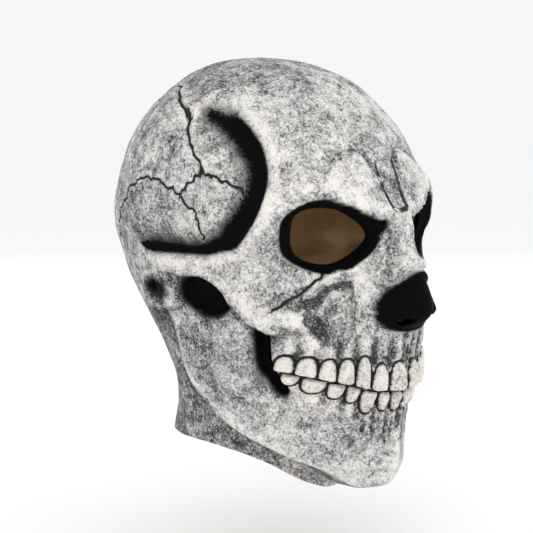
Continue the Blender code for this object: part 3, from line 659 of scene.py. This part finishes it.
    worn = face * (bump(ax, 4) * ease((-222 - z) / 6) + 0.8 * bump(socket - 6, 5) * ease((z + 104) / 8))
    worn += 0.7 * face * roots(ax, z)
    worn += 0.9 * face * bump(near_line(ax, z, eased_line(CREST))[0], 2.2)
    worn += 0.8 * face * bump(near_line(ax, z, eased_line(OVER_FOSSA))[0], 2.6)
    worn += 0.8 * face * bump(np.hypot(ax - 59.6, z + 152), 3.5)
    worn += 0.5 * face * bump(np.hypot((ax - 20) / 10, (z + 247) / 7), 1.0)
    arc = inside(ax, z, BROW_ARC + ((16, -80), (40, -80)))
    worn += 0.45 * face * ease(-arc / 4)
    worn += 0.8 * flank * bump(below + 5, 5) * ease((20 - y) / 20) * ease((y + 88) / 14)
    worn += 0.8 * flank * bump(outer - 2.5, 2.6) * (temple > 0) * (y < 20)
    worn += 0.5 * flank * bump(cut - 2.4, 1.4)
    worn += 0.6 * neck * bump(behind + 3.5, 3.5)
    worn += 0.9 * flank * bump(np.hypot((y - 14) / 17, (z + 142) / 11) - 1, 0.16)
    wash_and_shade *= 1 - 0.8 * ease(-tooth_field(ax, y, z) / 0.8)
    return {
        "recess": np.clip(recess, -9, 9),
        "wash_and_shade": np.clip(wash_and_shade, 0, 1.0),
        "tooth": np.clip(tooth_field(ax, y, z), -4, 9),
        "cut": np.clip(cut, 0, 9),
        "cut_side": np.clip(cut_side, -9, 9),
        "dots": np.clip(dots, 0, 9),
        "dots_side": np.clip(dots_side, -9, 9),
        "worn": np.clip(worn, 0, 1.2),
    }


class Surface:
    """Points, faces and painter's masks of one side of the casting, with clean-cut holes."""

    def __init__(self, points, masks):
        rows, count = points.shape[:2]
        top = points[:1, :1].reshape(1, 3)
        self.points = [tuple(v) for v in np.vstack([top, points[1:].reshape(-1, 3)]).tolist()]
        self.masks = {}
        for key, mask in masks.items():
            self.masks[key] = np.concatenate([mask[:1, :1].ravel(), mask[1:].ravel()]).tolist()
        self.faces = [(0, 1 + (j + 1) % count, 1 + j) for j in range(count)]
        for i in range(rows - 2):
            low = 1 + i * count
            for j in range(count):
                k = (j + 1) % count
                self.faces.append((low + j, low + k, low + k + count, low + j + count))
        self.hem = [1 + (rows - 2) * count + j for j in range(count)]
        self.loops = []

    def cut(self, outline, front=-50.0):
        """Cuts the outline, (x, z), out of the part in front, and keeps the loop of its edge."""
        p = np.array(self.points)
        field = inside(p[:, 0], p[:, 2], outline)
        field = np.where(p[:, 1] > front, FAR, field)
        field = np.where(np.abs(field) < 1e-3, 1e-3, field).tolist()
        crossings = {}
        kept = []
        edges = {}
        for face in self.faces:
            signs = [field[v] < 0 for v in face]
            if not any(signs):
                kept.append(face)
                continue
            if all(signs):
                continue
            shape = []
            cuts = []
            for v, w in zip(face, face[1:] + face[:1]):
                if field[v] >= 0:
                    shape.append(v)
                if (field[v] < 0) != (field[w] < 0):
                    key = (min(v, w), max(v, w))
                    if key not in crossings:
                        u = field[v] / (field[v] - field[w])
                        crossings[key] = len(self.points)
                        ends = zip(self.points[v], self.points[w])
                        self.points.append(tuple(a + (b - a) * u for a, b in ends))
                        for values in self.masks.values():
                            values.append(values[v] + (values[w] - values[v]) * u)
                        field.append(0.0)
                    shape.append(crossings[key])
                    cuts.append((crossings[key], field[v] < 0))
            if len(shape) > 2:
                kept.append(tuple(shape))
            for k, (c, entering) in enumerate(cuts):
                if not entering:
                    edges[c] = cuts[(k + 1) % len(cuts)][0]
        self.faces = kept
        start = next(iter(edges))
        loop = [start]
        while edges.get(loop[-1]) != start and len(loop) <= len(edges):
            loop.append(edges[loop[-1]])
        self.loops.append(loop)


def ordered(points, loop):
    """The loop turned so that it runs one way round in (x, z) or, for the hem, in (x, y)."""
    p = np.array([points[v] for v in loop])
    spread = p.max(0) - p.min(0)
    flat = (0, 1) if spread[2] < 0.4 * spread[1] else (0, 2)
    if spread[0] > 60:
        flat = (0, 1)
    q = p[:, flat]
    q = q - q.mean(0)
    area = (q[:, 0] * np.roll(q[:, 1], -1) - q[:, 1] * np.roll(q[:, 0], -1)).sum()
    return loop if area > 0 else loop[::-1], flat


def zip_loops(points, first, second):
    """Triangles between two loops of points that need not have the same count."""
    first, flat = ordered(points, first)
    second, _ = ordered(points, second)
    p = np.array([points[v] for v in first])[:, flat]
    q = np.array([points[v] for v in second])[:, flat]
    shift = int(np.argmin(np.hypot(*(q - p[0]).T)))
    second = second[shift:] + second[:shift]
    q = np.roll(q, -shift, 0)
    n = len(first)
    m = len(second)
    cp = np.concatenate([[0], np.cumsum(np.hypot(*(np.roll(p, -1, 0) - p).T))])
    cq = np.concatenate([[0], np.cumsum(np.hypot(*(np.roll(q, -1, 0) - q).T))])
    cp /= cp[-1]
    cq /= cq[-1]
    made = []
    i = j = 0
    while i < n or j < m:
        if j >= m or (i < n and cp[i + 1] <= cq[j + 1]):
            made.append((first[i % n], first[(i + 1) % n], second[j % m]))
            i += 1
        else:
            made.append((first[i % n], second[(j + 1) % m], second[j % m]))
            j += 1
    return made


def steps_to(table):
    """Values from 0 whose spacing follows (up to, step) pairs."""
    out = [0.0]
    for end, step in table:
        count = max(1, round((end - out[-1]) / step))
        out.extend(np.linspace(out[-1], end, count + 1)[1:].tolist())
    return out


def grow(outline, by):
    """The outline moved out from its middle by this many mm."""
    middle = np.mean(outline, 0)
    grown = []
    for q in outline:
        out = np.array(q) - middle
        grown.append(tuple(middle + out * (1 + by / max(np.hypot(*out), 1e-6))))
    return grown


def ellipse(cx, cz, rx, rz, count=28):
    return [(cx + rx * math.cos(2 * math.pi * k / count), cz + rz * math.sin(2 * math.pi * k / count))
            for k in range(count)]


def inner(angle, t):
    """The inside of the casting: a wall behind the deepest relief near each place."""
    plain = base(angle, t)
    turn = 4.0 / np.maximum(np.hypot(plain[..., 0], plain[..., 1]), 25.0)
    depth = np.full(t.shape, 1e3)
    back = np.full(t.shape, -1e3)
    for i in (-1, 0, 1):
        for j in (-1, 0, 1):
            beside = base(angle + i * turn, np.clip(t + 0.3 * j, 0, LAST))
            out, behind = relief(beside)
            dent = pits(beside) + hollows(np.abs(beside[..., 0]), beside[..., 1], beside[..., 2])
            depth = np.minimum(depth, out - dent)
            back = np.maximum(back, behind)
    normal = base_normal(angle, t)
    level = np.stack([np.sin(angle), -np.cos(angle), 0 * t], -1)
    hem = ease((t - 20.8) / 1.4)[..., None]
    normal = normal * (1 - hem) + level * hem
    points = plain + normal * (depth - WALL)[..., None]
    points[..., 1] += back
    return points


def build_mask():
    half = steps_to(OUTSIDE_COLUMNS)
    columns = np.radians(np.array([-a for a in half[-2:0:-1]] + half))
    rows = np.array(steps_to(OUTSIDE_ROWS))
    aa, tt = np.meshgrid(columns, rows)
    points, plain = skin(aa, tt)
    masks = paint(plain)
    masks["within"] = np.zeros(tt.shape)
    outside = Surface(points, masks)

    half = steps_to(INSIDE_COLUMNS)
    columns = np.radians(np.array([-a for a in half[-2:0:-1]] + half))
    rows = np.array(steps_to(INSIDE_ROWS))
    aa, tt = np.meshgrid(columns, rows)
    points = inner(aa, tt)
    masks = {key: np.zeros(tt.shape) + (0 if key in ("wash_and_shade", "worn") else FAR) for key in outside.masks}
    # The paint of the holes' edges runs a little way in.
    near = np.minimum(inside(np.abs(points[..., 0]), points[..., 2], rounded(EYE_HOLE)),
                      np.hypot(np.abs(points[..., 0]) - NOSTRIL[0], points[..., 2] - NOSTRIL[1]) - 5)
    near = np.where(points[..., 1] < -40, near, FAR)
    masks["within"] = np.clip(near / 3, 0, 1)
    masks["recess"] = np.clip(near * 1.5 - 2, -2, 9)
    within = Surface(points, masks)

    for side in (1, -1):
        eye = [(side * x, z) for x, z in rounded(EYE_HOLE)]
        outside.cut(eye)
        within.cut(grow(eye, 0.6))
        outside.cut(ellipse(side * NOSTRIL[0], NOSTRIL[1], 4.6, 2.7))
        within.cut(ellipse(side * NOSTRIL[0], NOSTRIL[1], 6.2, 5.0))

    offset = len(outside.points)
    points = outside.points + within.points
    faces = outside.faces + [tuple(v + offset for v in reversed(face)) for face in within.faces]
    masks = {k: outside.masks[k] + within.masks[k] for k in outside.masks}
    for a, b in zip(outside.loops + [outside.hem], within.loops + [within.hem]):
        faces += zip_loops(points, a, [v + offset for v in b])

    mesh = bpy.data.meshes.new("mask_skin")
    mesh.from_pydata([tuple(v) for v in ((np.array(points) + (0, 0, WALL)) * MM).tolist()], [], faces)
    for key, values in masks.items():
        layer = mesh.attributes.new(key, "FLOAT", "POINT")
        layer.data.foreach_set("value", np.array(values, np.float32))
    mesh.validate()
    mesh.update()
    shape = bmesh.new()
    shape.from_mesh(mesh)
    bmesh.ops.recalc_face_normals(shape, faces=shape.faces)
    if shape.calc_volume(signed=True) < 0:
        bmesh.ops.reverse_faces(shape, faces=shape.faces)
    open_edges = sum(1 for e in shape.edges if len(e.link_faces) != 2)
    print("mask_skin", len(shape.verts), "points,", len(shape.faces), "faces, open edges:", open_edges)
    shape.to_mesh(mesh)
    shape.free()
    mesh.polygons.foreach_set("use_smooth", np.ones(len(mesh.polygons), bool))
    mesh.set_sharp_from_angle(angle=math.radians(62))
    made = bpy.data.objects.new("mask_skin", mesh)
    bpy.context.scene.collection.objects.link(made)
    return made


class Nodes:
    """Short calls for making a shader tree."""

    def __init__(self, material):
        material.use_nodes = True
        self.tree = material.node_tree
        self.tree.nodes.clear()

    def add(self, kind, **values):
        node = self.tree.nodes.new(kind)
        for key, value in values.items():
            setattr(node, key, value)
        return node

    def link(self, a, b):
        self.tree.links.new(a, b)

    def put(self, socket, value):
        if hasattr(value, "links"):
            self.link(value, socket)
        else:
            socket.default_value = value

    def math(self, operation, a, b=0.0, clamp=False):
        node = self.add("ShaderNodeMath", operation=operation, use_clamp=clamp)
        self.put(node.inputs[0], a)
        self.put(node.inputs[1], b)
        return node.outputs[0]

    def ramp(self, value, low, high, out_low=0.0, out_high=1.0):
        """A smooth step from low to high."""
        node = self.add("ShaderNodeMapRange", interpolation_type="SMOOTHSTEP")
        self.put(node.inputs["Value"], value)
        self.put(node.inputs["From Min"], low)
        self.put(node.inputs["From Max"], high)
        self.put(node.inputs["To Min"], out_low)
        self.put(node.inputs["To Max"], out_high)
        return node.outputs["Result"]

    def noise(self, vector, scale, detail=2.0, rough=0.5, distortion=0.0):
        node = self.add("ShaderNodeTexNoise")
        self.link(vector, node.inputs["Vector"])
        node.inputs["Scale"].default_value = scale
        node.inputs["Detail"].default_value = detail
        node.inputs["Roughness"].default_value = rough
        node.inputs["Distortion"].default_value = distortion
        return node.outputs["Fac"]

    def mask(self, name):
        return self.add("ShaderNodeAttribute", attribute_name=name).outputs["Fac"]

    def mix(self, share, a, b):
        node = self.add("ShaderNodeMix", data_type="RGBA")
        self.put(node.inputs["Factor"], share)
        for socket, value in zip((s for s in node.inputs if s.type == "RGBA"), (a, b)):
            self.put(socket, value)
        return next(s for s in node.outputs if s.type == "RGBA")


def latex_paint():
    material = bpy.data.materials.new("latex_paint")
    n = Nodes(material)
    place = n.add("ShaderNodeTexCoord").outputs["Object"]
    # Clouds of wash, from the size of a hand to that of a finger tip, then the sponge's grain.
    broad = n.noise(place, 20.0, 3.0, 0.55)
    cloud = n.noise(place, 62.0, 5.0, 0.68, 0.5)
    blot = n.noise(place, 190.0, 4.0, 0.7, 0.5)
    grain = n.noise(place, 640.0, 3.0, 0.75)
    speck = n.noise(place, 1250.0, 2.0, 0.7)

    def weighed(total, value, weight):
        return n.math("ADD", total, n.math("MULTIPLY", n.math("SUBTRACT", value, 0.5), weight))

    # How dark the wash and the painted shade are here: 0 is bare white paint and 1 is the black wash.
    wash = n.math("ADD", n.math("MULTIPLY", n.mask("wash_and_shade"), WASH_AND_SHADE), BASE)
    wash = n.math("SUBTRACT", wash, n.math("MULTIPLY", n.mask("worn"), 0.42))
    wash = weighed(wash, broad, 0.5)
    wash = weighed(wash, cloud, 1.4)
    spotty = weighed(wash, blot, 1.7)
    spotty = weighed(spotty, grain, 2.1)
    spotty = weighed(spotty, speck, 1.3)
    tone = n.ramp(spotty, -0.35, 1.0)

    white = n.mix(n.ramp(broad, 0.4, 0.6), (0.79, 0.768, 0.74, 1), (0.755, 0.75, 0.74, 1))
    white = n.mix(n.math("MULTIPLY", n.mask("worn"), 0.5), white, (0.81, 0.765, 0.70, 1))
    colour = n.mix(tone, white, (0.022, 0.022, 0.025, 1))

    # Teeth are cleaner and warmer, outlined in black.
    wobble = n.math("MULTIPLY", n.math("SUBTRACT", n.noise(place, 420.0, 2.0, 0.6), 0.5), 1.3)
    tooth = n.mask("tooth")
    crown = n.ramp(tooth, -0.1, -0.9)
    stained = n.math("MULTIPLY", n.ramp(spotty, 0.25, 1.1), 0.8)
    ivory = n.mix(stained, (0.80, 0.75, 0.68, 1), (0.12, 0.11, 0.10, 1))
    colour = n.mix(n.math("MULTIPLY", crown, 0.8), colour, ivory)
    edge = n.math("ADD", tooth, n.math("MULTIPLY", wobble, 0.5))
    outline = n.math("MULTIPLY", n.ramp(edge, -0.3, 0.1), n.ramp(edge, 1.25, 0.8))
    colour = n.mix(n.math("MULTIPLY", outline, 1.0), colour, (0.010, 0.010, 0.011, 1))

    # Cracks and sutures.
    side = n.math("ABSOLUTE", n.math("ADD", n.mask("cut_side"), n.math("MULTIPLY", wobble, 0.6)))
    crack = n.math("MULTIPLY", n.ramp(side, 1.05, 0.5), n.ramp(n.mask("cut"), 2.6, 1.8))
    colour = n.mix(n.math("MULTIPLY", crack, 1.0), colour, (0.012, 0.012, 0.013, 1))
    side = n.math("ABSOLUTE", n.math("ADD", n.mask("dots_side"), wobble))
    dots = n.math("MULTIPLY", n.ramp(side, 1.9, 0.9), n.ramp(n.mask("dots"), 3.2, 2.4))
    dots = n.math("MULTIPLY", dots, n.ramp(blot, 0.36, 0.46))
    colour = n.mix(n.math("MULTIPLY", dots, 1.0), colour, (0.015, 0.015, 0.016, 1))

    # Black, airbrushed into the recesses with a speckled edge.
    spray = weighed(weighed(n.mask("recess"), grain, 3.0), blot, 1.2)
    black = n.ramp(spray, 0.8, -0.8)
    colour = n.mix(black, colour, (0.003, 0.003, 0.0033, 1))

    # Bare latex inside.
    bare = n.mix(n.ramp(cloud, 0.3, 0.7), (0.62, 0.47, 0.29, 1), (0.70, 0.56, 0.37, 1))
    within = n.ramp(n.mask("within"), 0.45, 0.8)
    colour = n.mix(within, colour, bare)
    deep = n.math("MULTIPLY", black, n.math("SUBTRACT", 1.0, within))

    shader = n.add("ShaderNodeBsdfPrincipled")
    n.link(colour, shader.inputs["Base Color"])
    n.link(n.math("ADD", n.math("MULTIPLY", grain, 0.18), 0.52), shader.inputs["Roughness"])
    n.link(n.math("SUBTRACT", 0.26, n.math("MULTIPLY", deep, 0.235)), shader.inputs["Specular IOR Level"])
    height = n.math("ADD", n.math("MULTIPLY", grain, 0.6), n.math("MULTIPLY", blot, 0.6))
    height = n.math("ADD", height, n.math("MULTIPLY", speck, 0.3))
    height = n.math("SUBTRACT", height, n.math("MULTIPLY", crack, 0.3))
    raised = n.add("ShaderNodeBump")
    raised.inputs["Strength"].default_value = 0.6
    raised.inputs["Distance"].default_value = 0.0008
    n.link(height, raised.inputs["Height"])
    n.link(raised.outputs["Normal"], shader.inputs["Normal"])
    end = n.add("ShaderNodeOutputMaterial")
    n.link(shader.outputs[0], end.inputs["Surface"])
    return material


def stage():
    """A pale round floor, soft studio lights and the camera."""
    count = 64
    turns = [2 * math.pi * k / count for k in range(count)]
    mesh = bpy.data.meshes.new("floor")
    points = [(FLOOR_RADIUS * math.cos(v), FLOOR_RADIUS * math.sin(v), 0.0) for v in turns]
    mesh.from_pydata(points, [], [tuple(range(count))])
    floor = bpy.data.objects.new("floor", mesh)
    floor.location = (0, 0, FLOOR_Z)
    bpy.context.scene.collection.objects.link(floor)
    material = bpy.data.materials.new("pale_floor")
    material.use_nodes = True
    shader = material.node_tree.nodes["Principled BSDF"]
    shader.inputs["Base Color"].default_value = (0.985, 0.985, 0.985, 1)
    shader.inputs["Roughness"].default_value = 1.0
    mesh.materials.append(material)

    world = bpy.data.worlds.new("studio")
    world.use_nodes = True
    world.node_tree.nodes["Background"].inputs["Color"].default_value = (1.0, 1.0, 1.0, 1)
    world.node_tree.nodes["Background"].inputs["Strength"].default_value = WORLD
    bpy.context.scene.world = world

    target = Vector((0, -0.01, -0.13))
    for name, turn, high, far, size, power in (("key", AZIMUTH - 8, 0.75, 1.3, 0.9, 12.0 * POWER),
                                               ("fill", AZIMUTH + 62, 0.35, 1.5, 1.2, 12.0 * POWER),
                                               ("top", AZIMUTH + 20, 1.5, 0.4, 1.0, 7.0 * POWER),
                                               ("back", AZIMUTH + 180, 0.6, 1.4, 1.2, 6.0 * POWER)):
        a = math.radians(turn)
        light = bpy.data.lights.new(name, "AREA")
        light.size = size
        light.energy = power
        lamp = bpy.data.objects.new(name, light)
        lamp.location = (math.sin(a) * far, -math.cos(a) * far, target.z + high)
        lamp.rotation_euler = (target - lamp.location).to_track_quat("-Z", "Y").to_euler()
        bpy.context.scene.collection.objects.link(lamp)

    a = math.radians(AZIMUTH)
    e = math.radians(ELEVATION)
    away = Vector((math.sin(a) * math.cos(e), -math.cos(a) * math.cos(e), math.sin(e)))
    lens = bpy.data.cameras.new("camera")
    lens.sensor_width = 36.0
    lens.lens = 36.0 / (2 * math.tan(math.radians(VIEW_ANGLE) / 2))
    lens.clip_start = 0.02
    camera = bpy.data.objects.new("camera", lens)
    middle = Vector(AIM)
    camera.location = middle + away * DISTANCE
    camera.rotation_euler = (-away).to_track_quat("-Z", "Y").to_euler()
    bpy.context.scene.collection.objects.link(camera)
    bpy.context.scene.camera = camera


mask = build_mask()
mask.data.materials.append(latex_paint())
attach(mask, "root")
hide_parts("mask_shell")

bpy.context.scene.view_settings.view_transform = "Standard"
bpy.context.scene.view_settings.look = "None"
stage()
